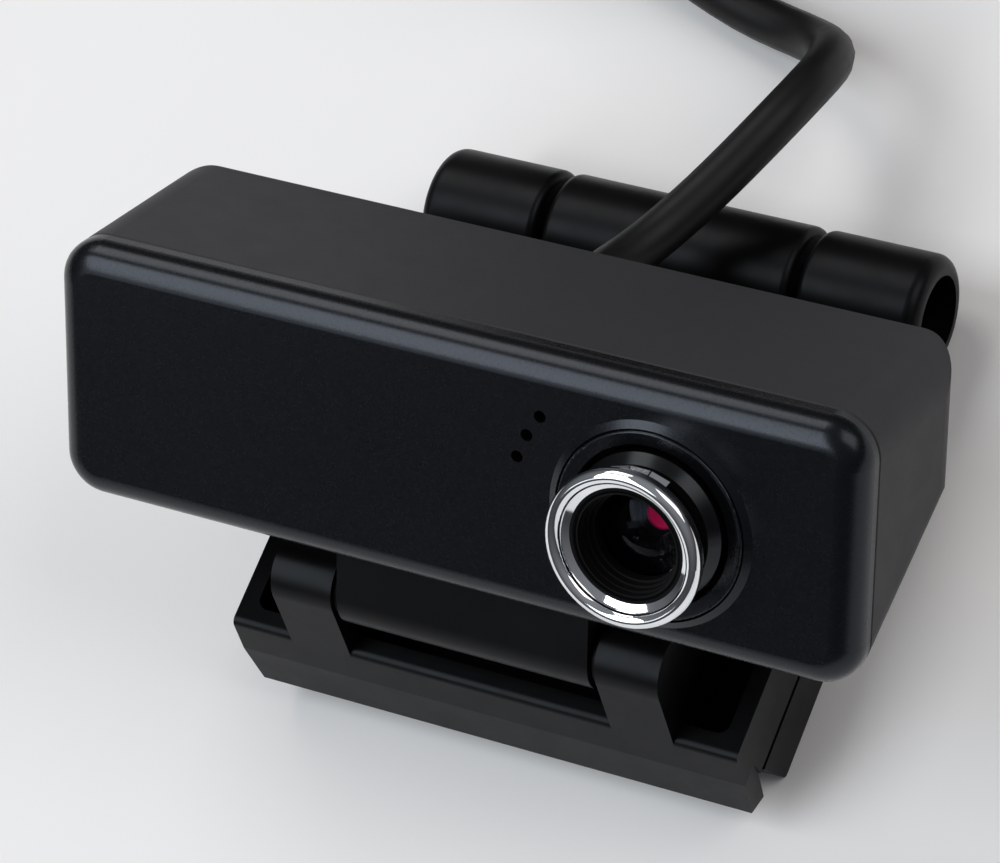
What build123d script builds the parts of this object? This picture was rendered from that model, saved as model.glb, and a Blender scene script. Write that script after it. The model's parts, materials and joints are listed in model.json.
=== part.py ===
from build123d import *
import math
import os

# Clip-on webcam: a wide head with a lens to one side tilts on a folding clip, and its cable ends in a
# USB plug. Millimetres, +Z up, front towards -Y. The clip is closed and lies flat on the table, and
# the head looks up. The origin is on the table, under the middle of the clip.

# Head, in its own frame: origin in the middle of the front face, +Y to the back, +Z up
head_width = 70.0
head_height = 22.1
head_depth = 19.05
bezel_depth = 3.1
bezel_front = 1.6
front_round = 2.2
corner_radius = 3.5
back_corner_radius = 4.0
back_height = 12.05
wall = 1.5
parting_chamfer = 0.15

# Lens, turned about an axis along Y
lens_x = 17.9
lens_z = -0.6
collar_radius = 8.55
collar_groove_radius = 7.85
collar_proud = 0.42
lens_hole_radius = 6.6
barrel_neck_radius = 4.75
barrel_neck_bore = 4.3
barrel_shoulder = -2.1
barrel_shoulder_radius = 5.45
barrel_front_radius = 6.15
barrel_radius = 5.55
mount_bore_radius = 5.6
mount_radius = 6.5
mount_front = 2.0
mount_back = 6.0
focus_ring_radius = 6.5
focus_rim_radius = 0.62
focus_ring_front = -5.1
focus_ring_back = -3.2
grip_from_angle = 63.5
grip_facets = 3
grip_facet_angle = 17.2
grip_notch_angle = 1.2
grip_front_radius = 5.15
grip_back_radius = 5.75
glass_radius = 3.7
glass_apex = -2.3
glass_curve = 6.4
glass_back = 1.8
stop_radius = 1.1
stop_back = 2.0
inner_lens_radius = 3.3

# Electronics behind the bezel
board_front = 8.0
board_thickness = 1.2
board_width = 51.0
board_bottom = -4.8
board_top = 9.2
mic_holes = ((8.4, 6.1), (7.3, 4.3), (6.5, 2.3))
mic_hole_radius = 0.5
mic_radius = 2.0
screw_x = 29.0
screw_z = 4.5
screw_radius = 1.0
screw_head_radius = 1.7
screw_seat_depth = 2.2

# Clip: an upper jaw with a front lip, and a leg that folds under it
clip_width = 45.6
clip_length = 49.0
knuckle_radius = 5.2
knuckle_gap_x = 11.7
knuckle_gap = 0.7
knuckle_round = 0.7
knuckle_end_round = 1.2
knuckle_core_radius = 3.6
knuckle_core_depth = 7.5
hinge_pin_radius = 1.5
jaw_gap = 0.5
rim_height = 11.2
rim_fall_y = 6.0
rim_fall_height = 10.7
rim_back_height = 7.2
tray_floor = 6.9
tray_wall = 1.5
rib_height = 9.6
lip_low = 3.0
lip_thickness = 2.3
lip_break_height = 7.6
lip_lean_low = 8.0
lip_lean_high = 13.0
lip_end_taper = 0.7
pad_thickness = 0.6
running = 0.05

# Tilt hinge between two ears on the clip and a block under the head
tilt = 41.0
tilt_y = -18.84
tilt_z = 16.07
pivot_y = 6.3
pivot_z = -16.3
ear_inner_x = 11.8
ear_outer_x = 17.3
ear_radius = 3.0
block_half_width = 11.2
tilt_pin_radius = 1.2
washer_thickness = 0.5
washer_radius = 2.5

# Cable: 1.5 m from the strain relief to the plug
cable_diameter = 4.0
cable_length = 1500.0
exit_z = 5.5
relief_length = 4.0
coil_layers = (5, 5, 5, 4)
coil_pitch = 5.3
coil_rise = 5.1
coil_outer = 27.15
coil_lift = 0.6
tail_run = 6.8
tie_width = 4.0
tie_thickness = 0.5
tie_clearance = 0.35
tie_angle = -10.0
plug_thickness = 8.0
plug_width = 15.5
plug_body_length = 24.0
shell_length = 18.7
shell_width = 12.0
shell_height = 4.5
shell_sheet = 0.4

# Worked out from the sizes above
hinge_y = clip_length / 2 - knuckle_radius
hinge_z = knuckle_radius
jaw_bottom = hinge_z + jaw_gap / 2
leg_top = hinge_z - jaw_gap / 2
cable_radius = cable_diameter / 2
head_place = Pos(0, tilt_y, tilt_z) * Rot(-tilt, 0, 0) * Pos(0, -pivot_y, -pivot_z)
lens_place = Pos(lens_x, 0, lens_z)


def along_y(sketch, start, end):
    """Extrudes a sketch drawn in X and Z from one Y to another."""
    return extrude(Plane.XZ.offset(-start) * sketch, amount=start - end)


def across_x(sketch, low, high):
    """Extrudes a sketch drawn in Y and Z from one X to another."""
    return extrude(Plane.YZ.offset(low) * sketch, amount=high - low)


def outline(*points):
    return make_face(Polyline(*points, close=True))


def turned(*points):
    """A body of revolution about the Y axis from its corners, each a radius and a Y."""
    return revolve(outline(*points), axis=Axis.Y)


def rod_y(radius, start, end, x=0.0, z=0.0):
    return along_y(Pos(x, z) * Circle(radius), start, end)


def rod_x(radius, low, high, y, z):
    return across_x(Pos(y, z) * Circle(radius), low, high)


def both_sides(solid):
    return solid + mirror(solid, about=Plane.YZ)


def underside_z(y):
    """Height of the head's sloping underside at a distance behind the front face."""
    rise = head_height - back_height
    return -head_height / 2 + rise * (y - bezel_depth) / (head_depth - bezel_depth)


# Head shells


def front_bezel():
    body = along_y(RectangleRounded(head_width, head_height, corner_radius), 0, bezel_depth)
    body = fillet(body.faces().sort_by(Axis.Y)[0].edges(), front_round)
    body = chamfer(body.faces().sort_by(Axis.Y)[-1].edges(), parting_chamfer)
    inner = RectangleRounded(head_width - 2 * wall, head_height - 2 * wall, corner_radius - wall)
    body -= along_y(inner, bezel_front, bezel_depth)
    body += lens_place * lens_collar()
    body -= rod_y(lens_hole_radius, -2 * collar_proud, bezel_depth, lens_x, lens_z)
    for x, z in mic_holes:
        body -= rod_y(mic_hole_radius, -1, bezel_front, x, z)
    for side in (-1, 1):
        body += rod_y(2 * screw_radius + 0.2, bezel_front, bezel_depth + 2.5, side * screw_x, screw_z)
        body -= rod_y(screw_radius, bezel_front + 1, bezel_depth + 3, side * screw_x, screw_z)
    return body


def lens_collar():
    """Low cone round the lens hole, with a fine groove between it and the land that leads inside."""
    foot = collar_radius
    groove = collar_groove_radius
    hole = lens_hole_radius
    top = -collar_proud
    cone = Polyline((foot, 0), (groove + 0.1, top + 0.08), (groove, top + 0.24), (groove - 0.06, top + 0.12))
    ridge = ThreePointArc((groove - 0.06, top + 0.12), (groove - 0.16, top + 0.01), (groove - 0.3, top))
    land = Polyline(
        (groove - 0.3, top), (hole + 0.1, top + 0.07), (hole, top + 0.17),
        (hole, bezel_front), (foot, bezel_front), (foot, 0),
    )
    return revolve(make_face(cone + ridge + land), axis=Axis.Y)


def housing_wedge(inset, depth):
    """The housing's outer form, or its hollow when inset by a wall: flat on top, sloping below."""
    run = depth - bezel_depth
    slope = Vector(0, head_depth - bezel_depth, head_height - back_height).normalized()
    section = RectangleRounded(head_width - 2 * inset, 2 * head_height, corner_radius - inset)
    lifted = Plane.XZ.offset(-bezel_depth) * Pos(0, head_height / 2 + inset) * section
    lowered = Pos(0, -head_height / 2 - inset) * section
    wedge = extrude(lifted, amount=run / slope.Y, dir=slope)
    wedge &= along_y(lowered, bezel_depth, depth)
    plan = Pos(0, depth / 2) * Rectangle(head_width - 2 * inset, depth)
    plan = fillet(plan.vertices().group_by(Axis.Y)[-1], back_corner_radius - inset)
    return wedge & extrude(plan, amount=head_height, both=True)


def rear_housing():
    body = housing_wedge(0, head_depth)
    body = chamfer(body.faces().sort_by(Axis.Y)[0].edges(), parting_chamfer)
    body -= housing_wedge(wall, head_depth - wall)
    seat = head_depth - screw_seat_depth
    for side in (-1, 1):
        boss = rod_y(screw_head_radius + 0.9, bezel_depth + 2.5, head_depth - wall, side * screw_x, screw_z)
        body += boss
        body -= rod_y(screw_radius + 0.1, bezel_depth, seat, side * screw_x, screw_z)
        body -= rod_y(screw_head_radius + 0.2, seat, head_depth, side * screw_x, screw_z)
    body -= rod_y(cable_radius + 0.9, head_depth - 2 * wall, head_depth, 0, exit_z)
    return body


def housing_screws():
    seat = head_depth - screw_seat_depth
    screw = rod_y(screw_radius, bezel_front + 2, seat) + rod_y(screw_head_radius, seat, seat + 1.2)
    screw -= along_y(Rectangle(2 * screw_head_radius, 0.5), seat + 0.6, seat + 1.2)
    screw = Pos(screw_x, 0, screw_z) * screw
    return Compound(children=[screw, mirror(screw, about=Plane.YZ)])


def tilt_block():
    front = pivot_y - ear_radius
    back = pivot_y + ear_radius
    side = outline((front, pivot_z), (back, pivot_z), (back, underside_z(back)), (front, underside_z(front)))
    side += Pos(pivot_y, pivot_z) * Circle(ear_radius)
    block = across_x(side, -block_half_width, block_half_width)
    return block - rod_x(tilt_pin_radius + running, -block_half_width, block_half_width, pivot_y, pivot_z)


# Lens and focus ring


def lens_mount():
    tube = along_y(Circle(mount_radius) - Circle(mount_bore_radius), mount_front, mount_back)
    base = along_y(RectangleRounded(13.6, 10.8, 1.2), mount_back, board_front)
    base -= along_y(Rectangle(7.6, 7.6), mount_back, board_front)
    return lens_place * (tube + base)


def lens_barrel():
    """Tube that holds the glass, with a stop behind it, a neck for the ring and a flared shoulder."""
    return lens_place * turned(
        (inner_lens_radius, 5.6), (inner_lens_radius, stop_back), (stop_radius, stop_back),
        (stop_radius, glass_back), (glass_radius, glass_back), (glass_radius, -1.4), (barrel_neck_bore, -1.4),
        (barrel_neck_bore, -4.0), (barrel_neck_radius, -4.0), (barrel_neck_radius, barrel_shoulder),
        (barrel_shoulder_radius, barrel_shoulder), (barrel_shoulder_radius, -1.25),
        (barrel_front_radius, -0.45), (barrel_front_radius, 1.6), (barrel_radius, 1.6), (barrel_radius, 5.6),
    )


def focus_ring():
    """Round chrome rim on a hub that sits on the barrel's neck, with the facets of its grip behind."""
    bore = barrel_neck_radius
    rim_middle = (focus_ring_radius - focus_rim_radius, focus_ring_front + focus_rim_radius)
    hub_radius = focus_ring_radius - 0.25
    hub_front = focus_ring_front + 1.05
    section = outline(
        (bore, hub_front), rim_middle, (hub_radius, hub_front), (hub_radius, focus_ring_back - 0.4),
        (hub_radius - 0.3, focus_ring_back), (bore, focus_ring_back),
    )
    section += Pos(*rim_middle) * Circle(focus_rim_radius)
    ring = revolve(section, axis=Axis.Y)
    for index in range(grip_facets):
        ring += grip_facet(grip_from_angle + index * grip_facet_angle)
    return lens_place * ring


def grip_facet(first_angle):
    """One of the flat facets behind the rim, flaring to the back, that a fingertip turns the ring by."""
    last_angle = first_angle + grip_facet_angle - grip_notch_angle
    sections = []
    inner = barrel_neck_radius + 0.1
    for y, radius in ((focus_ring_back - 0.1, grip_front_radius), (barrel_shoulder, grip_back_radius)):
        corners = [(inner, first_angle), (radius, first_angle), (radius, last_angle), (inner, last_angle)]
        sections.append(Plane.XZ.offset(-y) * outline(*[polar(*corner) for corner in corners]))
    return loft(sections, ruled=True)


def polar(radius, angle):
    return radius * math.cos(math.radians(angle)), radius * math.sin(math.radians(angle))


def lens_baffle():
    """Stepped black ring in the neck that keeps stray light off the glass."""
    return lens_place * turned(
        (barrel_neck_bore, -3.9), (barrel_neck_bore, -1.4), (3.6, -1.4), (3.6, -2.2), (3.8, -2.2),
        (3.8, -2.75), (4.0, -2.75), (4.0, -3.3), (4.15, -3.3), (4.15, -3.9),
    )


def dome_point(radius):
    return radius, glass_apex + glass_curve - math.sqrt(glass_curve ** 2 - radius ** 2)


def front_lens():
    dome = ThreePointArc(dome_point(0), dome_point(glass_radius / 2), dome_point(glass_radius))
    body = Polyline(dome_point(glass_radius), (glass_radius, glass_back), (0, glass_back), dome_point(0))
    return lens_place * revolve(make_face(dome + body), axis=Axis.Y)


def inner_lens():
    bulge = ThreePointArc((0, 2.1), (1.6, 2.3), (inner_lens_radius, 2.9))
    back = Polyline((inner_lens_radius, 2.9), (inner_lens_radius, 5.2), (0, 5.2), (0, 2.1))
    return lens_place * revolve(make_face(bulge + back), axis=Axis.Y)


def infrared_filter():
    return lens_place * along_y(Rectangle(7.4, 7.4), 6.1, 6.6)


def image_sensor():
    return lens_place * along_y(Rectangle(6.0, 6.0), board_front - 0.9, board_front)


# Board and sound


def circuit_board():
    height = board_top - board_bottom
    middle = (board_top + board_bottom) / 2
    return along_y(Pos(0, middle) * RectangleRounded(board_width, height, 0.8), board_front, board_back())


def board_back():
    return board_front + board_thickness


def controller_chip():
    return along_y(Pos(-6, 3) * Rectangle(7, 7), board_back(), board_back() + 1)


def cable_header():
    shell = along_y(Pos(7, 4.5) * Rectangle(9, 4.5), board_back(), board_back() + 4)
    return shell - along_y(Pos(7, 4.5) * Rectangle(7.4, 3), board_back() + 1, board_back() + 4)


def mic_middle():
    count = len(mic_holes)
    return sum(x for x, z in mic_holes) / count, sum(z for x, z in mic_holes) / count


def microphone():
    x, z = mic_middle()
    return rod_y(mic_radius, bezel_front + 0.8, bezel_front + 2.3, x, z)


def microphone_gasket():
    x, z = mic_middle()
    cup = rod_y(mic_radius + 0.7, bezel_front, bezel_front + 2.3, x, z)
    cup -= rod_y(mic_radius, bezel_front + 0.8, bezel_front + 2.3, x, z)
    for hole_x, hole_z in mic_holes:
        cup -= rod_y(mic_hole_radius, bezel_front, bezel_front + 0.8, hole_x, hole_z)
    return cup


def strain_relief():
    root = cable_radius + 1.6
    tip = cable_radius + 0.5
    neck = cable_radius + 0.9
    end = head_depth + relief_length
    inner_end = head_depth - 2 * wall
    boot = turned(
        (0, inner_end - 0.8), (root, inner_end - 0.8), (root, inner_end), (neck, inner_end),
        (neck, head_depth), (root, head_depth), (root, head_depth + 0.8), (root - 0.6, head_depth + 1.1),
        (root - 0.2, head_depth + 1.5), (root - 0.4, head_depth + 2.3), (root - 0.9, head_depth + 2.6),
        (tip, end), (0, end),
    )
    return Pos(0, 0, exit_z) * boot


# Clip


def lip_front(height):
    """Y of the lip's front face, which leans back in two facets and goes on up the ears."""
    low_front = -clip_length / 2
    low_rise = min(height, lip_break_height) - lip_low
    high_rise = max(height - lip_break_height, 0)
    lean = low_rise * math.tan(math.radians(lip_lean_low)) + high_rise * math.tan(math.radians(lip_lean_high))
    return low_front + lean


def jaw_side():
    """Side outline of the upper jaw, with its lip and its rounded nose."""
    back_low = lip_low - 1.4
    back_y = lip_front(jaw_bottom) + lip_thickness
    side = outline(
        (lip_front(lip_low), lip_low), (lip_front(lip_break_height), lip_break_height),
        (lip_front(rim_height), rim_height), (rim_fall_y, rim_fall_height),
        (hinge_y - knuckle_radius + 0.3, rim_back_height), (hinge_y, rim_back_height), (hinge_y, jaw_bottom),
        (back_y, jaw_bottom), (lip_front(lip_low) + lip_thickness - 0.3, back_low),
    )
    nose = side.vertices().sort_by_distance((lip_front(rim_height), rim_height))[0]
    return fillet(nose, 0.7)


def ear_side():
    crease = math.radians(162)
    crease_y = tilt_y + ear_radius * math.cos(crease)
    crease_z = tilt_z + ear_radius * math.sin(crease)
    side = outline(
        (lip_front(tray_floor), tray_floor), (lip_front(lip_break_height), lip_break_height),
        (lip_front(rim_height), rim_height), (crease_y, crease_z), (tilt_y, tilt_z),
        (tilt_y + ear_radius, tilt_z), (tilt_y + ear_radius + 1.2, tray_floor),
    )
    return side + Pos(tilt_y, tilt_z) * Circle(ear_radius)


def clip_base():
    half = clip_width / 2
    inner = half - tray_wall
    jaw = across_x(jaw_side(), -half, half)
    hollow_front = lip_front(rim_height) + 1.7
    hollow_back = hinge_y - knuckle_radius - 1.6
    hollow = Pos(0, (hollow_front + hollow_back) / 2, tray_floor)
    jaw -= hollow * extrude(RectangleRounded(2 * inner, hollow_back - hollow_front, 1.0), amount=rim_height)
    middle = knuckle_gap_x + knuckle_gap / 2
    jaw -= Pos(0, hinge_y, 0) * Box(2 * middle, 2 * (knuckle_radius + 0.6), 4 * rim_height)
    rib_sketch = Pos((hollow_front + hollow_back) / 2, (tray_floor + rib_height) / 2)
    rib_sketch *= Rectangle(hollow_back - hollow_front + 1, rib_height - tray_floor)
    rib_sketch &= jaw_side()
    half_fittings = across_x(ear_side(), ear_inner_x, ear_outer_x)
    half_fittings += across_x(rib_sketch, ear_outer_x - 1.2, ear_outer_x)
    half_fittings += across_x(rib_sketch, ear_inner_x, ear_inner_x + 1.2)
    half_fittings += outer_knuckle(middle, half)
    jaw += both_sides(half_fittings)
    jaw -= both_sides(rod_x(knuckle_core_radius, hinge_pin_half(), half, hinge_y, hinge_z))
    pin_end = ear_outer_x - 1.0
    jaw -= rod_x(tilt_pin_radius, -pin_end, pin_end, tilt_y, tilt_z)
    jaw -= rod_x(hinge_pin_radius, -hinge_pin_half(), hinge_pin_half(), hinge_y, hinge_z)
    jaw -= both_sides(lip_end_cut(half))
    return jaw - base_pad()


def outer_knuckle(low, high):
    """Outer third of the hinge barrel, rounded a little at the gap and more at its open end."""
    gap_corner = (low, knuckle_radius)
    end_corner = (high, knuckle_radius)
    side = outline((low, 0), gap_corner, end_corner, (high, 0))
    for corner, radius in ((gap_corner, knuckle_round), (end_corner, knuckle_end_round)):
        side = fillet(side.vertices().sort_by_distance(corner)[0], radius)
    return Pos(0, hinge_y, hinge_z) * revolve(side, axis=Axis.X)


def lip_end_cut(half):
    """Wedge that tapers one end of the lip towards its lower edge."""
    front = lip_front(lip_low) - 1
    top = jaw_bottom + 2
    end = outline((half, top), (half + 1, top), (half + 1, 0), (half - lip_end_taper, 0))
    return along_y(end, front, lip_front(jaw_bottom) + lip_thickness)


def base_pad():
    return Pos(0, -4, jaw_bottom + pad_thickness / 2) * Box(36, 24, pad_thickness)


def hinge_pin_half():
    return clip_width / 2 - knuckle_core_depth


def hinge_pin():
    return rod_x(hinge_pin_radius, -hinge_pin_half(), hinge_pin_half(), hinge_y, hinge_z)


def tilt_pin():
    end = ear_outer_x - 1.0
    return rod_x(tilt_pin_radius, -end, end, tilt_y, tilt_z)


def friction_washers():
    ring = Pos(tilt_y, tilt_z) * (Circle(washer_radius) - Circle(tilt_pin_radius))
    washer = across_x(ring, ear_inner_x - washer_thickness, ear_inner_x)
    return Compound(children=[washer, mirror(washer, about=Plane.YZ)])


def clip_leg():
    half = clip_width / 2
    middle = knuckle_gap_x - knuckle_gap / 2
    front_low = lip_front(lip_low) + lip_thickness + 2.1
    front_high = lip_front(jaw_bottom) + lip_thickness + 0.5
    clear = hinge_y - knuckle_radius - 0.6
    side = outline((front_low, 0), (clear, 0), (clear, leg_top), (front_high, leg_top))
    side = fillet(side.vertices().group_by(Axis.Y)[0], 0.6)
    leg = across_x(side, -half, half)
    neck = outline((clear, 0), (hinge_y, 0), (hinge_y, leg_top), (clear, leg_top))
    leg += across_x(neck, -middle, middle)
    knuckle = rod_x(knuckle_radius, -middle, middle, hinge_y, hinge_z)
    leg += fillet(knuckle.edges().filter_by(GeomType.CIRCLE), knuckle_round)
    leg -= rod_x(hinge_pin_radius + running, -middle, middle, hinge_y, hinge_z)
    return leg - leg_pad()


def leg_pad():
    return Pos(0, -4, leg_top - pad_thickness / 2) * Box(36, 26, pad_thickness)


# Cable


def tube(path, start, way):
    return sweep(Plane(origin=start, z_dir=way) * Circle(cable_radius), path=path)


def turn_radii(points):
    """Bend radius at each inner point: as wide as the shorter run beside it lets it be."""
    radii = []
    for before, here, after in zip(points, points[1:], points[2:]):
        run_in = here - before
        run_out = after - here
        half_turn = math.radians(run_in.get_angle(run_out)) / 2
        radii.append(0.45 * min(run_in.length, run_out.length) / math.tan(half_turn))
    return radii


def print_volume(name, solid, length):
    plain = math.pi * cable_radius ** 2 * length
    print(f"{name}: volume over section by length {solid.volume / plain:.3f}")


def routed(name, points):
    """Tube along hand-placed points, with its length and tightest bend printed."""
    radii = turn_radii(points)
    path = FilletPolyline(*points, radius=radii)
    print(f"{name}: {path.length:.1f} mm long, tightest bend {min(radii):.1f} mm")
    solid = tube(path, points[0], points[1] - points[0])
    print_volume(name, solid, path.length)
    return solid, path.length


def right_of(way):
    return Vector(way.Y, -way.X, 0)


def coil_entry():
    """Where the cable joins the coil, and the way it runs there."""
    return Vector(-24, 52, cable_radius + coil_lift), Vector(-0.92, 0.39, 0).normalized()


def coil_middle():
    entry, way = coil_entry()
    return entry + way * cable_diameter + right_of(way) * coil_outer


def coil_path():
    """Half turns that spiral in and out, with a climb of one layer where the spiral reverses."""
    here, way = coil_entry()
    edges = [Line(here, here + way * cable_diameter)]
    here = here + way * cable_diameter
    radius = coil_outer
    for layer, half_turns in enumerate(coil_layers):
        step = coil_pitch / 2 if layer % 2 else -coil_pitch / 2
        for index in range(half_turns):
            there = here + right_of(way) * (2 * radius + step)
            edges.append(TangentArc(here, there, tangent=way))
            here = there
            way = way * -1
            radius += step
        if layer + 1 < len(coil_layers):
            there = here + right_of(way) * (2 * radius) + Vector(0, 0, coil_rise)
            top = (here + there) / 2 + way * ((there - here).length / 2)
            climb = TangentArc(here, top, tangent=way)
            edges.append(climb)
            edges.append(TangentArc(top, there, tangent=climb % 1))
            here = there
            way = way * -1
    edges.append(Line(here, here + way * cable_diameter))
    return Wire(edges), here + way * cable_diameter, way


def least_gap(path):
    """Smallest space between turns of the coil, measured on points along its middle line."""
    count = 1600
    points = [path @ (index / count) for index in range(count + 1)]
    skip = math.ceil(4 * cable_diameter / path.length * count)
    least = path.length
    for index, here in enumerate(points):
        for there in points[index + skip:]:
            least = min(least, (there - here).length)
    return least - cable_diameter


def cable_coil():
    path, end, way = coil_path()
    start, start_way = coil_entry()
    solid = tube(path, start, start_way)
    print(f"cable_coil: {path.length:.1f} mm long, least gap {least_gap(path):.2f} mm")
    print_volume("cable_coil", solid, path.length)
    return solid, path.length


def stretch_points():
    """From the strain relief over the hinge barrel, down to the table and away to the coil."""
    entry, way = coil_entry()
    return [
        (head_place * Pos(0, head_depth + relief_length, exit_z)).position,
        (head_place * Pos(0, head_depth + relief_length + 3.4, exit_z)).position,
        Vector(0.9, 13.5, 17.6),
        Vector(2.3, 16.9, 16.5),
        Vector(4.9, 22.2, 16.1),
        Vector(8.5, 31.5, 15.3),
        Vector(7.6, 38.6, 9.4),
        Vector(3.0, 42.2, 3.6),
        Vector(-5.5, 44.4, 2.1),
        entry - way * 9,
        entry,
    ]


def tail_points():
    """From the end of the coil, up and round to the plug that lies across the top of the turns."""
    path, here, way = coil_path()
    points = [here]
    for turn, rise in ((0, 0), (25, 1.8), (50, 2.3), (75, 1.9), (100, 0)):
        run = way.rotate(Axis.Z, -turn) * tail_run
        here = here + run + Vector(0, 0, rise)
        points.append(here)
    return points


def plug_place():
    points = tail_points()
    way = points[-1] - points[-2]
    return Pos(points[-1]) * Rot(0, 0, math.degrees(math.atan2(way.Y, way.X)) - 90)


def plug_overmould():
    relief = turned(
        (0, 0), (cable_radius + 0.5, 0), (cable_radius + 1.3, 6), (cable_radius + 1.6, 7), (0, 7),
    )
    grip = along_y(RectangleRounded(plug_width, plug_thickness, 2.2), 6.5, plug_body_length)
    grip = fillet(grip.faces().sort_by(Axis.Y)[0].edges(), 1.6)
    grip = fillet(grip.faces().sort_by(Axis.Y)[-1].edges(), 0.6)
    return plug_place() * (relief + grip)


def plug_shell():
    end = plug_body_length + shell_length
    sheet = RectangleRounded(shell_width, shell_height, 0.6)
    sheet -= RectangleRounded(shell_width - 2 * shell_sheet, shell_height - 2 * shell_sheet, 0.3)
    shell = along_y(sheet, plug_body_length, end)
    window = Pos(0, plug_body_length + 11, 0) * Box(2.4, 2.0, 2 * shell_height)
    return plug_place() * (shell - Pos(-2.6, 0) * window - Pos(2.6, 0) * window)


def plug_tongue():
    width = shell_width - 2 * shell_sheet - 0.6
    bottom = -shell_height / 2 + shell_sheet
    tongue = Pos(0, bottom + 0.95) * Rectangle(width, 1.9)
    return plug_place() * along_y(tongue, plug_body_length, plug_body_length + shell_length - 0.8)


def cable_tie():
    """Band round the whole bundle of turns, on the far side from the plug."""
    layers = len(coil_layers)
    inner_radius = coil_outer - max(coil_layers) * coil_pitch / 2 - cable_radius - tie_clearance
    outer_radius = coil_outer + cable_radius + tie_clearance
    low = coil_lift - 0.05
    high = coil_lift + (layers - 1) * coil_rise + cable_diameter + tie_clearance
    opening = RectangleRounded(outer_radius - inner_radius, high - low, 1.6)
    band = offset(opening, tie_thickness) - opening
    band += Pos((inner_radius - outer_radius) / 2 + 6, (high - low) / 2 + tie_thickness) * Rectangle(6, 1.6)
    band = Pos((inner_radius + outer_radius) / 2, (high + low) / 2) * band
    loop = along_y(band, -tie_width / 2, tie_width / 2)
    return Pos(coil_middle().X, coil_middle().Y, 0) * Rot(0, 0, tie_angle) * loop


stretch, stretch_length = routed("cable_stretch", stretch_points())
coil, coil_length = cable_coil()
tail, tail_length = routed("cable_tail", tail_points())
print(f"cable: {stretch_length + coil_length + tail_length:.0f} mm of {cable_length:.0f} mm")

head_pieces = {
    "front_bezel": front_bezel(),
    "rear_housing": rear_housing(),
    "housing_screws": housing_screws(),
    "tilt_block": tilt_block(),
    "lens_mount": lens_mount(),
    "lens_barrel": lens_barrel(),
    "focus_ring": focus_ring(),
    "lens_baffle": lens_baffle(),
    "front_lens": front_lens(),
    "inner_lens": inner_lens(),
    "infrared_filter": infrared_filter(),
    "image_sensor": image_sensor(),
    "circuit_board": circuit_board(),
    "controller_chip": controller_chip(),
    "cable_header": cable_header(),
    "microphone": microphone(),
    "microphone_gasket": microphone_gasket(),
    "strain_relief": strain_relief(),
}
clip_pieces = {
    "clip_base": clip_base(),
    "base_pad": base_pad(),
    "tilt_pin": tilt_pin(),
    "friction_washers": friction_washers(),
    "hinge_pin": hinge_pin(),
    "clip_leg": clip_leg(),
    "leg_pad": leg_pad(),
    "cable_stretch": stretch,
    "cable_coil": coil,
    "cable_tail": tail,
    "cable_tie": cable_tie(),
    "plug_overmould": plug_overmould(),
    "plug_shell": plug_shell(),
    "plug_tongue": plug_tongue(),
}

os.makedirs("parts", exist_ok=True)
for name, solid in head_pieces.items():
    export_step(head_place * solid, f"parts/{name}.step")
for name, solid in clip_pieces.items():
    export_step(solid, f"parts/{name}.step")
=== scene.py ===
import json
import math

import bmesh
import bpy
from mathutils import Matrix, Vector

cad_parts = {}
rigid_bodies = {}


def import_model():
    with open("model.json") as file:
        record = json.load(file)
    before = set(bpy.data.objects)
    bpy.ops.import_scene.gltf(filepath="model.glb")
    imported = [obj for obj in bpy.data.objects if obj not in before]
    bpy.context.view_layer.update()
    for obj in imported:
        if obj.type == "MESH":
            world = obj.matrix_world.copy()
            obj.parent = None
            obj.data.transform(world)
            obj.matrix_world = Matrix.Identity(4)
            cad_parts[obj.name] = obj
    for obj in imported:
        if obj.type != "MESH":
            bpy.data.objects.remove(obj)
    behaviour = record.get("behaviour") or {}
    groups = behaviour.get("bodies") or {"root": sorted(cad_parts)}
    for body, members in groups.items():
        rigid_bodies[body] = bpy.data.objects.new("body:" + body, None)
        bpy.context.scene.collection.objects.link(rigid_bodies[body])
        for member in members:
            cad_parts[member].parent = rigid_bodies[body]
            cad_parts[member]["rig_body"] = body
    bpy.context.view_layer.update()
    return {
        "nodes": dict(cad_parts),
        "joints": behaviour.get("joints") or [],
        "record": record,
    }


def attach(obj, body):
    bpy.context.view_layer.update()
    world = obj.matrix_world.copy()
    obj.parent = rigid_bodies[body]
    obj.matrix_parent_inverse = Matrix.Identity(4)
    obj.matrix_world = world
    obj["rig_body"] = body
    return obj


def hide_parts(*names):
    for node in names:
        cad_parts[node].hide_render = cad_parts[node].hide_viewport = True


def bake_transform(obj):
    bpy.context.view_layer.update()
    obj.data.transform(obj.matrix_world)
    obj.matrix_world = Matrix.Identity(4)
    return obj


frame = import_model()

MM = 0.001
UP = Vector((0, 0, 1))
nodes = frame["nodes"]

# Camera, measured from the photograph: it stands high on the lens side and is rolled
AZIMUTH = math.radians(53.858)
ELEVATION = math.radians(58.597)
ROLL = math.radians(-35.447)
CAMERA_DISTANCE = 385.98 * MM
CAMERA_TARGET = Vector((-0.275, -6.364, 24.782)) * MM
FOCAL_PIXELS = 4932.5
IMAGE_WIDTH = 1000
SENSOR_MM = 36.0
NEAREST_SEEN = 10 * MM
FURTHEST_SEEN = 20000 * MM


def add_object(name, data):
    """Object that holds the data, linked to the scene."""
    made = bpy.data.objects.new(name, data)
    bpy.context.scene.collection.objects.link(made)
    return made


def turn_to(right, up, back):
    """Rotation of an object whose own axes point these three ways."""
    return Matrix((right, up, back)).transposed().to_4x4()


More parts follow.
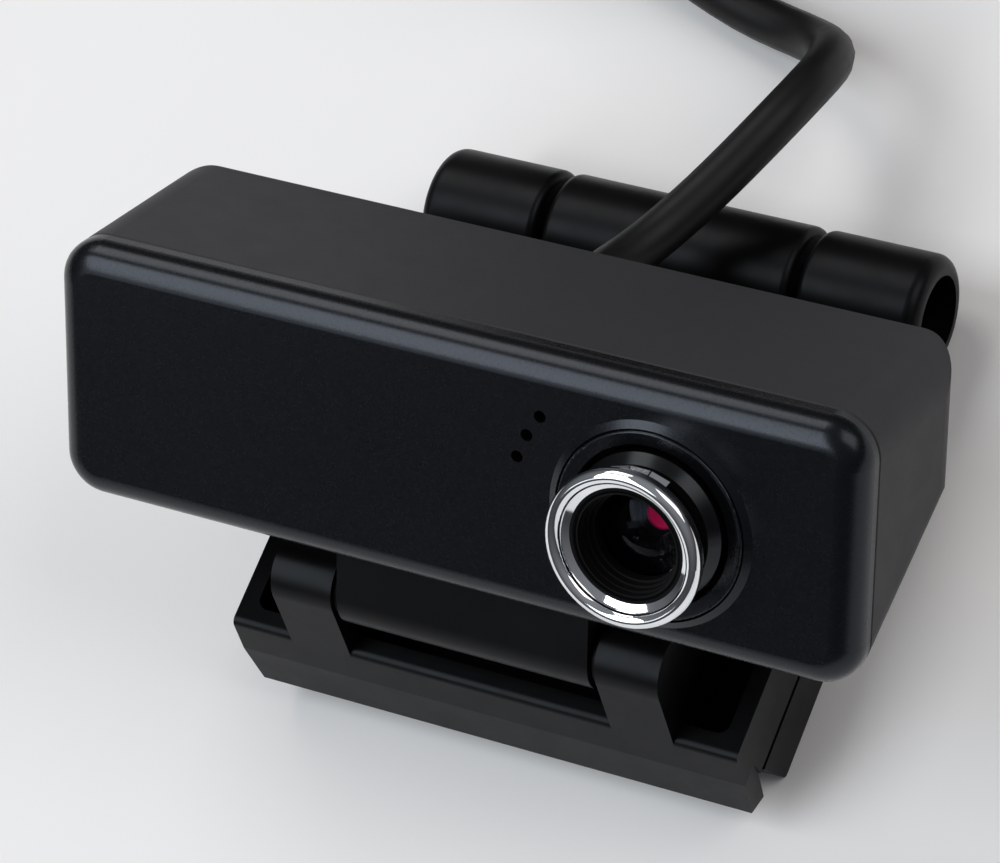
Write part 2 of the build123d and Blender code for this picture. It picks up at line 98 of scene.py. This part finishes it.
def add_camera():
    back = Vector((
        math.sin(AZIMUTH) * math.cos(ELEVATION),
        -math.cos(AZIMUTH) * math.cos(ELEVATION),
        math.sin(ELEVATION),
    ))
    level = Vector((math.cos(AZIMUTH), math.sin(AZIMUTH), 0))
    rise = back.cross(level)
    right = level * math.cos(ROLL) + rise * math.sin(ROLL)
    up = back.cross(right)
    data = bpy.data.cameras.new("camera")
    data.sensor_fit = "HORIZONTAL"
    data.sensor_width = SENSOR_MM
    data.lens = FOCAL_PIXELS * SENSOR_MM / IMAGE_WIDTH
    data.clip_start = NEAREST_SEEN
    data.clip_end = FURTHEST_SEEN
    camera = add_object("camera", data)
    place = Matrix.Translation(CAMERA_TARGET + back * CAMERA_DISTANCE)
    camera.matrix_world = place @ turn_to(right, up, back)
    bpy.context.scene.camera = camera


add_camera()

# Cable route, repeated from the part's source, in millimetres
CABLE_DIAMETER = 4.0
TILT = math.radians(41)
PIVOT = Vector((0, -18.84, 16.07))
RELIEF_END = Vector((0, 16.75, 21.8))
RELIEF_RUN = Vector((0, 3.4, 0))
STRETCH = (
    (0.9, 13.5, 17.6),
    (2.3, 16.9, 16.5),
    (4.9, 22.2, 16.1),
    (8.5, 31.5, 15.3),
    (7.6, 38.6, 9.4),
    (3.0, 42.2, 3.6),
    (-5.5, 44.4, 2.1),
)
COIL_ENTRY = Vector((-24, 52, 2.6))
COIL_WAY = Vector((-0.92, 0.39, 0)).normalized()
COIL_APPROACH = 9
COIL_LAYERS = (5, 5, 5, 4)
COIL_PITCH = 5.3
COIL_RISE = 5.1
COIL_OUTER = 27.15
HALF_TURN_POINTS = 8
TAIL_RUN = 6.8
TAIL_TURNS = ((0, 0), (25, 1.8), (50, 2.3), (75, 1.9), (100, 0))

# Fineness of the cable's tube
SPLINE_ORDER = 3
SPLINE_STEPS = 4
TUBE_STEPS = 4


def in_world(head_offset):
    """A point given from the tilt axis in the head's own frame, placed in the row frame."""
    turn = Matrix.Rotation(-TILT, 3, "X")
    return PIVOT + turn @ head_offset


def right_of(way):
    return Vector((way.y, -way.x, 0))


def turned_way(way, degrees):
    return Matrix.Rotation(math.radians(degrees), 3, "Z") @ way


def half_turn(here, way, first, last, rise):
    """Control points round half a turn, just outside the line that they draw."""
    radius = (first + last) / 2
    middle = here + right_of(way) * radius
    outside = 1 / math.cos(math.pi / (2 * HALF_TURN_POINTS))
    points = []
    for index in range(HALF_TURN_POINTS):
        share = (index + 0.5) / HALF_TURN_POINTS
        arm = right_of(way) * -math.cos(math.pi * share) + way * math.sin(math.pi * share)
        lift = UP * (rise * (1 - math.cos(math.pi * share)) / 2)
        points.append(middle + arm * radius * outside + lift)
    return points


def coil_points():
    """Control points of the coil, and the place and way in which the cable leaves it."""
    here = COIL_ENTRY + COIL_WAY * CABLE_DIAMETER
    way = COIL_WAY
    radius = COIL_OUTER
    points = []
    for layer, count in enumerate(COIL_LAYERS):
        step = COIL_PITCH / 2 if layer % 2 else -COIL_PITCH / 2
        climbs = layer + 1 < len(COIL_LAYERS)
        for index in range(count + climbs):
            rise = COIL_RISE if index == count else 0
            new_radius = radius if rise else radius + step
            points += half_turn(here, way, radius, new_radius, rise)
            here = here + right_of(way) * (radius + new_radius) + UP * rise
            way = -way
            radius = new_radius
    return points, here + way * CABLE_DIAMETER, way


def cable_route():
    """Control points from the strain relief, down to the floor and round the coil to the plug."""
    route = [in_world(RELIEF_END), in_world(RELIEF_END + RELIEF_RUN)]
    route += [Vector(point) for point in STRETCH]
    route += [COIL_ENTRY - COIL_WAY * COIL_APPROACH, COIL_ENTRY]
    turns, here, way = coil_points()
    route += turns
    route.append(here)
    for turn, rise in TAIL_TURNS:
        here = here + turned_way(way, -turn) * TAIL_RUN + UP * rise
        route.append(here)
    return route


def route_curve(name, route):
    data = bpy.data.curves.new(name, "CURVE")
    data.dimensions = "3D"
    data.resolution_u = SPLINE_STEPS
    spline = data.splines.new("NURBS")
    spline.points.add(len(route) - 1)
    for point, place in zip(spline.points, route):
        point.co = (*(place * MM), 1)
    spline.order_u = SPLINE_ORDER
    spline.use_endpoint_u = True
    return add_object(name, data)


def mesh_of(curve):
    bpy.context.view_layer.update()
    depsgraph = bpy.context.evaluated_depsgraph_get()
    return bpy.data.meshes.new_from_object(curve.evaluated_get(depsgraph))


def smooth(mesh):
    for polygon in mesh.polygons:
        polygon.use_smooth = True


# Tie round the coil, in millimetres: a strap, and a head on top that its end goes through
TIE_ANGLE = math.radians(-10)
TIE_OUTWARD = Vector((math.cos(TIE_ANGLE), math.sin(TIE_ANGLE), 0))
TIE_ALONG = UP.cross(TIE_OUTWARD)
TIE_WIDTH = 4.0
TIE_THICKNESS = 0.5
TIE_CLEARANCE = 0.05
TIE_SIDES = 72
TIE_HEAD = Vector((6.0, 5.0, 2.2))
TIE_HEAD_RIM = 1.0
TIE_HEAD_RECESS = 0.5
TIE_ROUND = 0.15
TIE_ROUND_STEPS = 2
ROUND_PROFILE = 0.5
ROUNDED_ANGLE = math.radians(60)
SMOOTHED_ANGLE = math.radians(40)


def coil_middle():
    """Point of the floor in the middle of the coil."""
    middle = COIL_ENTRY + COIL_WAY * CABLE_DIAMETER + right_of(COIL_WAY) * COIL_OUTER
    middle.z = 0
    return middle


def coil_crossings(path):
    """Where the cable's line goes through the tie's plane, as distances out from the middle and up."""
    middle = coil_middle()
    crossings = []
    for first, second in zip(path, path[1:]):
        start = Vector(first) / MM - middle
        end = Vector(second) / MM - middle
        before = start.dot(TIE_ALONG)
        after = end.dot(TIE_ALONG)
        if before * after < 0:
            place = start.lerp(end, before / (before - after))
            if 0 < place.dot(TIE_OUTWARD) < COIL_OUTER + CABLE_DIAMETER:
                crossings.append(Vector((place.dot(TIE_OUTWARD), place.z)))
    return crossings


def tight_line(crossings, offset):
    """Closed line drawn tight round the turns, at an offset from the middle of each."""
    points = []
    for index in range(TIE_SIDES):
        angle = 2 * math.pi * index / TIE_SIDES
        normal = Vector((math.cos(angle), math.sin(angle)))
        furthest = max(crossings, key=normal.dot)
        points.append(furthest + normal * offset)
    return points


def on_tie(point, shift):
    """Place in metres of a point of the tie's plane, shifted along the cable."""
    return (coil_middle() + TIE_OUTWARD * point.x + UP * point.y + TIE_ALONG * shift) * MM


def add_strap(mesh, inner, outer):
    half = TIE_WIDTH / 2
    rings = []
    for line, shift in ((inner, -half), (inner, half), (outer, half), (outer, -half)):
        rings.append([mesh.verts.new(on_tie(point, shift)) for point in line])
    for ring, beside in zip(rings, rings[1:] + rings[:1]):
        for index in range(TIE_SIDES):
            following = (index + 1) % TIE_SIDES
            mesh.faces.new((ring[index], ring[following], beside[following], beside[index]))


def add_tie_head(mesh, outer):
    """Block seated in the top of the strap, with a recess in its lid."""
    top = TIE_SIDES // 4
    seat = (outer[top - 1] + outer[top + 1]) / 2
    seat.y += TIE_HEAD.z / 2 - TIE_THICKNESS
    size = Matrix.Diagonal((TIE_HEAD * MM).to_4d())
    place = Matrix.Translation(on_tie(seat, 0)) @ turn_to(TIE_OUTWARD, TIE_ALONG, UP) @ size
    block = bmesh.ops.create_cube(mesh, size=1, matrix=place)
    bmesh.ops.recalc_face_normals(mesh, faces=mesh.faces)
    sides = {face for vert in block["verts"] for face in vert.link_faces}
    lid = max(sides, key=lambda face: face.normal.z)
    bmesh.ops.inset_individual(
        mesh, faces=[lid], thickness=TIE_HEAD_RIM * MM, depth=-TIE_HEAD_RECESS * MM,
    )


def round_corners(mesh):
    corners = [edge for edge in mesh.edges if edge.calc_face_angle(0) > ROUNDED_ANGLE]
    bmesh.ops.bevel(
        mesh, geom=corners, offset=TIE_ROUND * MM, segments=TIE_ROUND_STEPS,
        affect="EDGES", profile=ROUND_PROFILE,
    )


def add_tie(path):
    crossings = coil_crossings(path)
    inside = CABLE_DIAMETER / 2 + TIE_CLEARANCE
    inner = tight_line(crossings, inside)
    outer = tight_line(crossings, inside + TIE_THICKNESS)
    mesh = bmesh.new()
    add_strap(mesh, inner, outer)
    add_tie_head(mesh, outer)
    round_corners(mesh)
    data = bpy.data.meshes.new("tie")
    mesh.to_mesh(data)
    mesh.free()
    smooth(data)
    data.set_sharp_from_angle(angle=SMOOTHED_ANGLE)
    tie = add_object("tie", data)
    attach(tie, nodes["cable_tie"]["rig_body"])
    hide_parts("cable_tie")
    return tie


def add_cable():
    """The whole cable as one tube, with its tie."""
    route = cable_route()
    curve = route_curve("cable_route", route)
    path = [tuple(vertex.co) for vertex in mesh_of(curve).vertices]
    curve.data.bevel_depth = CABLE_DIAMETER / 2 * MM
    curve.data.bevel_resolution = TUBE_STEPS
    curve.data.use_fill_caps = True
    cable = add_object("cable", mesh_of(curve))
    bpy.data.objects.remove(curve)
    smooth(cable.data)
    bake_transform(cable)
    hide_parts("cable_stretch", "cable_coil", "cable_tail")
    tie = add_tie(path)
    return cable, tie


cable, tie = add_cable()

# Materials, with the sizes of their marks in millimetres
# Radius of the barrel's bore, inside which its reflection is painted out to black as painted shade
BORE_RADIUS = 4.5
BORE_FADE = 0.05
# Radius of the magenta spot of painted reflection in the middle of the inner lens's coating
PAINTED_REFLECTION_RADIUS = 0.85
PAINTED_REFLECTION_FADE = 0.2
WAVE_TO_GRAIN = 4
LIGHTER_SHADE = 1.1
BLACK = 0.0


def as_colour(value):
    if isinstance(value, (int, float)):
        return (value, value, value, 1)
    return (*value, 1)


def shades(tint):
    """A tint and a slightly lighter one."""
    return tint, tuple(value * LIGHTER_SHADE for value in tint)


class Shader:
    """A node material under construction, in object space measured in millimetres."""

    def __init__(self, name):
        self.name = name
        self.material = bpy.data.materials.new(name)
        self.material.use_nodes = True
        self.tree = self.material.node_tree
        self.bsdf = self.tree.nodes["Principled BSDF"]
        place = self.tree.nodes.new("ShaderNodeTexCoord")
        scale = self.vector_math("SCALE", place.outputs["Object"])
        scale.inputs["Scale"].default_value = 1 / MM
        self.millimetres = scale.outputs["Vector"]

    def vector_math(self, operation, vector):
        node = self.tree.nodes.new("ShaderNodeVectorMath")
        node.operation = operation
        self.tree.links.new(vector, node.inputs[0])
        return node

    def set(self, **values):
        """Constants of the surface, under the names of its sockets with _ for each space."""
        for key, value in values.items():
            self.bsdf.inputs[key.replace("_", " ")].default_value = value
        return self

    def join(self, output, socket):
        self.tree.links.new(output, self.bsdf.inputs[socket])
        return self

    def noise(self, size, detail, roughness=0.5):
        node = self.tree.nodes.new("ShaderNodeTexNoise")
        node.inputs["Scale"].default_value = 1 / size
        node.inputs["Detail"].default_value = detail
        node.inputs["Roughness"].default_value = roughness
        self.tree.links.new(self.millimetres, node.inputs["Vector"])
        return node.outputs["Fac"]

    def cells(self, size):
        """A random value for each cell of a size."""
        node = self.tree.nodes.new("ShaderNodeTexVoronoi")
        node.inputs["Scale"].default_value = 1 / size
        self.tree.links.new(self.millimetres, node.inputs["Vector"])
        return node.outputs["Color"]

    def further_than(self, radius, fade, origin, axis):
        """0 near a line and 1 far from it, with a fade where the distance is the radius."""
        offset = self.vector_math("SUBTRACT", self.millimetres)
        offset.inputs[1].default_value = Vector(origin) / MM
        across = self.vector_math("CROSS_PRODUCT", offset.outputs["Vector"])
        across.inputs[1].default_value = Vector(axis).normalized()
        length = self.vector_math("LENGTH", across.outputs["Vector"])
        share = self.tree.nodes.new("ShaderNodeMapRange")
        share.inputs["From Min"].default_value = radius - fade / 2
        share.inputs["From Max"].default_value = radius + fade / 2
        self.tree.links.new(length.outputs["Value"], share.inputs["Value"])
        return share.outputs["Result"]

    def ramp(self, value, ends, between=(0.3, 0.7)):
        """Colour or grey from one end to the other, as the value goes between two limits."""
        node = self.tree.nodes.new("ShaderNodeValToRGB")
        for stop, position, end in zip(node.color_ramp.elements, between, ends):
            stop.position = position
            stop.color = as_colour(end)
        self.tree.links.new(value, node.inputs["Fac"])
        return node.outputs["Color"]

    def mix(self, factor, first, second):
        """An output's colour where the factor is 0, and a constant one where it is 1."""
        node = self.tree.nodes.new("ShaderNodeMix")
        node.data_type = "RGBA"
        sockets = {socket.name: socket for socket in node.inputs if socket.enabled}
        self.tree.links.new(factor, sockets["Factor"])
        self.tree.links.new(first, sockets["A"])
        sockets["B"].default_value = as_colour(second)
        return next(socket for socket in node.outputs if socket.enabled)

    def bump(self, *layers):
        """Stacked bumps, each a height output and its depth in millimetres."""
        normal = None
        for height, depth in layers:
            node = self.tree.nodes.new("ShaderNodeBump")
            node.inputs["Distance"].default_value = depth * MM
            self.tree.links.new(height, node.inputs["Height"])
            if normal:
                self.tree.links.new(normal, node.inputs["Normal"])
            normal = node.outputs["Normal"]
        return self.join(normal, "Normal")


def off_focus_axis(shader, radius, fade):
    """1 further than the radius from the axis that the focus group turns about, and 0 nearer to it."""
    focus = next(joint for joint in frame["joints"] if joint["name"] == "focus_turn")
    return shader.further_than(radius, fade, focus["pos_m"], focus["axis"])


def moulded(name, colours, roughness, grain, depth, specular):
    """Moulded plastic: faint flow marks in the colour, uneven gloss and a fine grain."""
    shader = Shader(name)
    shader.set(Specular_IOR_Level=specular)
    flow = shader.noise(size=9, detail=4)
    shader.join(shader.ramp(flow, colours, between=(0.35, 0.65)), "Base Color")
    gloss = shader.noise(size=3, detail=6, roughness=0.65)
    shader.join(shader.ramp(gloss, roughness), "Roughness")
    fine = shader.noise(size=grain, detail=3)
    waves = shader.noise(size=6, detail=2)
    return shader.bump((fine, depth), (waves, depth * WAVE_TO_GRAIN))


def sparkle_black(name):
    """Satin black lacquer with fine flakes that glint only where a lamp is mirrored."""
    shader = Shader(name)
    shader.set(Specular_IOR_Level=0.35, Specular_Tint=as_colour((0.82, 0.88, 1.0)))
    clouds = shader.noise(size=12, detail=3)
    blacks = ((0.002, 0.0022, 0.0026), (0.0026, 0.0028, 0.0034))
    shader.join(shader.ramp(clouds, blacks, between=(0.35, 0.65)), "Base Color")
    flakes = shader.cells(size=0.13)
    shader.join(shader.ramp(flakes, (0.22, 0.28), between=(0.1, 0.9)), "Roughness")
    waves = shader.noise(size=8, detail=2)
    return shader.bump((flakes, 0.0013), (waves, 0.003))


def clip_black(name):
    """The clip's satin black, which mirrors a little blue."""
    shader = moulded(
        name, colours=(0.002, 0.0026), roughness=(0.34, 0.42), grain=0.2, depth=0.003, specular=0.13,
    )
    return shader.set(Specular_Tint=as_colour((0.88, 0.94, 1.0)))


def barrel_gloss_painted_bore_shade(name):
    """Glossy black of the turned barrel; in its bore, where the glass is seated, the reflection is
    painted out to black as painted shade.
    """
    shader = moulded(
        name, colours=(0.002, 0.0026), roughness=(0.2, 0.28), grain=0.2, depth=0.002, specular=0.35,
    )
    outside = off_focus_axis(shader, BORE_RADIUS, BORE_FADE)
    # Painted shade: the reflection's tint is black inside the bore, so the well stays dark
    mirrored = shader.ramp(outside, (BLACK, (0.85, 0.92, 1.0)), between=(0, 1))
    return shader.join(mirrored, "Specular Tint")


def chrome_finish(name):
    """Bright plating with faint smears."""
    shader = Shader(name)
    shader.set(Metallic=1.0)
    tarnish = shader.noise(size=2.5, detail=5, roughness=0.6)
    shader.join(shader.ramp(tarnish, ((0.78, 0.79, 0.81), (0.88, 0.89, 0.91))), "Base Color")
    smears = shader.noise(size=0.8, detail=6, roughness=0.7)
    shader.join(shader.ramp(smears, (0.03, 0.08), between=(0.35, 0.75)), "Roughness")
    return shader.bump((shader.noise(size=0.5, detail=3), 0.002))


def metal(name, greys, roughness):
    """Bare metal with a fine uneven grain."""
    shader = Shader(name)
    shader.set(Metallic=1.0)
    clouds = shader.noise(size=1.5, detail=5, roughness=0.6)
    shader.join(shader.ramp(clouds, greys), "Base Color")
    wear = shader.noise(size=0.4, detail=6, roughness=0.7)
    shader.join(shader.ramp(wear, roughness), "Roughness")
    return shader.bump((shader.noise(size=0.15, detail=3), 0.002))


def coated_glass(name, tint, mirrored, seen_through):
    """Lens glass with a coating that colours what it mirrors."""
    shader = Shader(name)
    shader.set(Transmission_Weight=seen_through, IOR=1.5)
    shader.set(Specular_IOR_Level=0.2, Specular_Tint=as_colour(mirrored))
    shader.join(shader.ramp(shader.noise(size=5, detail=2), shades(tint)), "Base Color")
    haze = shader.noise(size=0.6, detail=5)
    return shader.join(shader.ramp(haze, (0.005, 0.02), between=(0.4, 0.8)), "Roughness")


def lens_coating(name, tint):
    """Coated glass behind the stop, seen only by the colour that its middle mirrors: the coating's
    magenta is painted only as a spot in the middle, a painted reflection, and round it the glass is
    painted black as painted shade.
    """
    shader = Shader(name)
    shader.set(Metallic=1.0)
    coating_and_painted_reflection = shader.ramp(shader.noise(size=2, detail=3), shades(tint))
    # Painted reflection: the coating's magenta is kept to a spot in the middle, and the rest is painted
    # black as painted shade
    outside = off_focus_axis(shader, PAINTED_REFLECTION_RADIUS, PAINTED_REFLECTION_FADE)
    shader.join(shader.mix(outside, coating_and_painted_reflection, BLACK), "Base Color")
    haze = shader.noise(size=0.8, detail=4)
    return shader.join(shader.ramp(haze, (0.78, 0.85)), "Roughness")


finishes = (
    sparkle_black("bezel_plastic"),
    moulded(
        "housing_plastic", colours=((0.0325, 0.0325, 0.0352), (0.0345, 0.0345, 0.0372)),
        roughness=(0.5, 0.58), grain=0.16, depth=0.006, specular=0.2,
    ),
    clip_black("clip_plastic"),
    barrel_gloss_painted_bore_shade("barrel_gloss_painted_bore_shade"),
    moulded(
        "inner_black", colours=(0.003, 0.0045),
        roughness=(0.45, 0.6), grain=0.2, depth=0.004, specular=0.15,
    ),
    chrome_finish("chrome"),
    coated_glass("lens_glass", tint=(0.86, 0.86, 0.9), mirrored=(0.05, 0.06, 0.08), seen_through=1.0),
    # The inner lens: a magenta coating, painted only as a reflection spot in its middle, with a painted
    # black rim
    lens_coating("lens_coating", tint=(0.85, 0.015, 0.16)),
    coated_glass("filter_glass", tint=(0.4, 0.66, 0.7), mirrored=(0.8, 0.9, 1.0), seen_through=0.8),
    moulded(
        "chip_black", colours=(0.012, 0.02),
        roughness=(0.4, 0.6), grain=0.1, depth=0.003, specular=0.4,
    ),
    moulded(
        "board_green", colours=((0.01, 0.1, 0.04), (0.02, 0.15, 0.06)),
        roughness=(0.3, 0.45), grain=0.3, depth=0.006, specular=0.5,
    ),
    moulded(
        "header_white", colours=((0.7, 0.69, 0.64), (0.78, 0.77, 0.73)),
        roughness=(0.4, 0.55), grain=0.2, depth=0.003, specular=0.5,
    ),
    metal("steel", greys=((0.42, 0.42, 0.43), (0.56, 0.56, 0.57)), roughness=(0.25, 0.4)),
    metal("plug_steel", greys=((0.6, 0.6, 0.61), (0.72, 0.72, 0.73)), roughness=(0.16, 0.28)),
    moulded(
        "soft_black", colours=(0.007, 0.01),
        roughness=(0.6, 0.75), grain=0.12, depth=0.008, specular=0.2,
    ),
    moulded(
        "cable_black", colours=(0.006, 0.008),
        roughness=(0.4, 0.5), grain=0.25, depth=0.004, specular=0.2,
    ),
)
materials = {finish.name: finish.material for finish in finishes}


def paint(piece, name):
    piece.data.materials.clear()
    piece.data.materials.append(materials[name])


for entry in frame["record"]["subparts"]:
    paint(nodes[entry["node"]], entry["material_slot"])
paint(cable, "cable_black")
paint(tie, "inner_black")
# The turned barrel has the clip's black with a higher gloss, and painted shade in its bore
paint(nodes["lens_barrel"], "barrel_gloss_painted_bore_shade")

# Floor and light, in metres and watts
FLOOR_REACH = 3.0
FLOOR_HEIGHT = -0.0002
LAMP_DISTANCE = 1.8
HORIZON = (0.05, 0.05, 0.055, 1)
OVERHEAD = (0.22, 0.23, 0.245, 1)
HORIZON_TOP = 0.1
OVERHEAD_BOTTOM = 0.9
DAYLIGHT = (0.9, 0.95, 1.0)


def add_floor():
    """Sheet of pale paper just under the object."""
    data = bpy.data.meshes.new("floor")
    signs = ((-1, -1), (1, -1), (1, 1), (-1, 1))
    corners = [(x * FLOOR_REACH, y * FLOOR_REACH, 0) for x, y in signs]
    data.from_pydata(corners, [], [(0, 1, 2, 3)])
    floor = add_object("floor", data)
    floor.location.z = FLOOR_HEIGHT
    shader = Shader("floor_paper")
    shader.set(Specular_IOR_Level=0.1, Roughness=0.9)
    paper = ((0.93, 0.915, 0.9), (0.945, 0.93, 0.915))
    shader.join(shader.ramp(shader.noise(size=40, detail=3), paper), "Base Color")
    data.materials.append(shader.material)


def add_softbox(name, direction, size, watts, colour):
    """Rectangular lamp that faces the origin, with its second side running from front to back."""
    away = Vector(direction).normalized()
    front_to_back = (Vector((0, 1, 0)) - away * away.y).normalized()
    data = bpy.data.lights.new(name, "AREA")
    data.shape = "RECTANGLE"
    data.size, data.size_y = size
    data.energy = watts
    data.color = colour
    lamp = add_object(name, data)
    turn = turn_to(front_to_back.cross(away), front_to_back, away)
    lamp.matrix_world = Matrix.Translation(away * LAMP_DISTANCE) @ turn


def add_world():
    """Plain studio surround: dim at the horizon and brighter overhead."""
    world = bpy.data.worlds.new("studio")
    bpy.context.scene.world = world
    world.use_nodes = True
    tree = world.node_tree
    place = tree.nodes.new("ShaderNodeTexCoord")
    split = tree.nodes.new("ShaderNodeSeparateXYZ")
    ramp = tree.nodes.new("ShaderNodeValToRGB")
    low, high = ramp.color_ramp.elements
    low.position = HORIZON_TOP
    low.color = HORIZON
    high.position = OVERHEAD_BOTTOM
    high.color = OVERHEAD
    tree.links.new(place.outputs["Generated"], split.inputs["Vector"])
    tree.links.new(split.outputs["Z"], ramp.inputs["Fac"])
    tree.links.new(ramp.outputs["Color"], tree.nodes["Background"].inputs["Color"])


add_floor()
add_world()
add_softbox("window", direction=(-0.45, -0.42, 0.79), size=(0.85, 1.68), watts=20, colour=DAYLIGHT)
add_softbox("lamp", direction=(-0.45, 0.48, 0.76), size=(0.8, 0.9), watts=7.2, colour=(1.0, 0.97, 0.94))
add_softbox("fill", direction=(0.6, 0.3, 0.74), size=(1.2, 1.2), watts=8.5, colour=(1.0, 0.97, 0.95))
add_softbox("glow", direction=(-0.42, -0.785, 0.46), size=(0.85, 0.32), watts=1.0, colour=DAYLIGHT)
bpy.context.scene.view_settings.view_transform = "Standard"
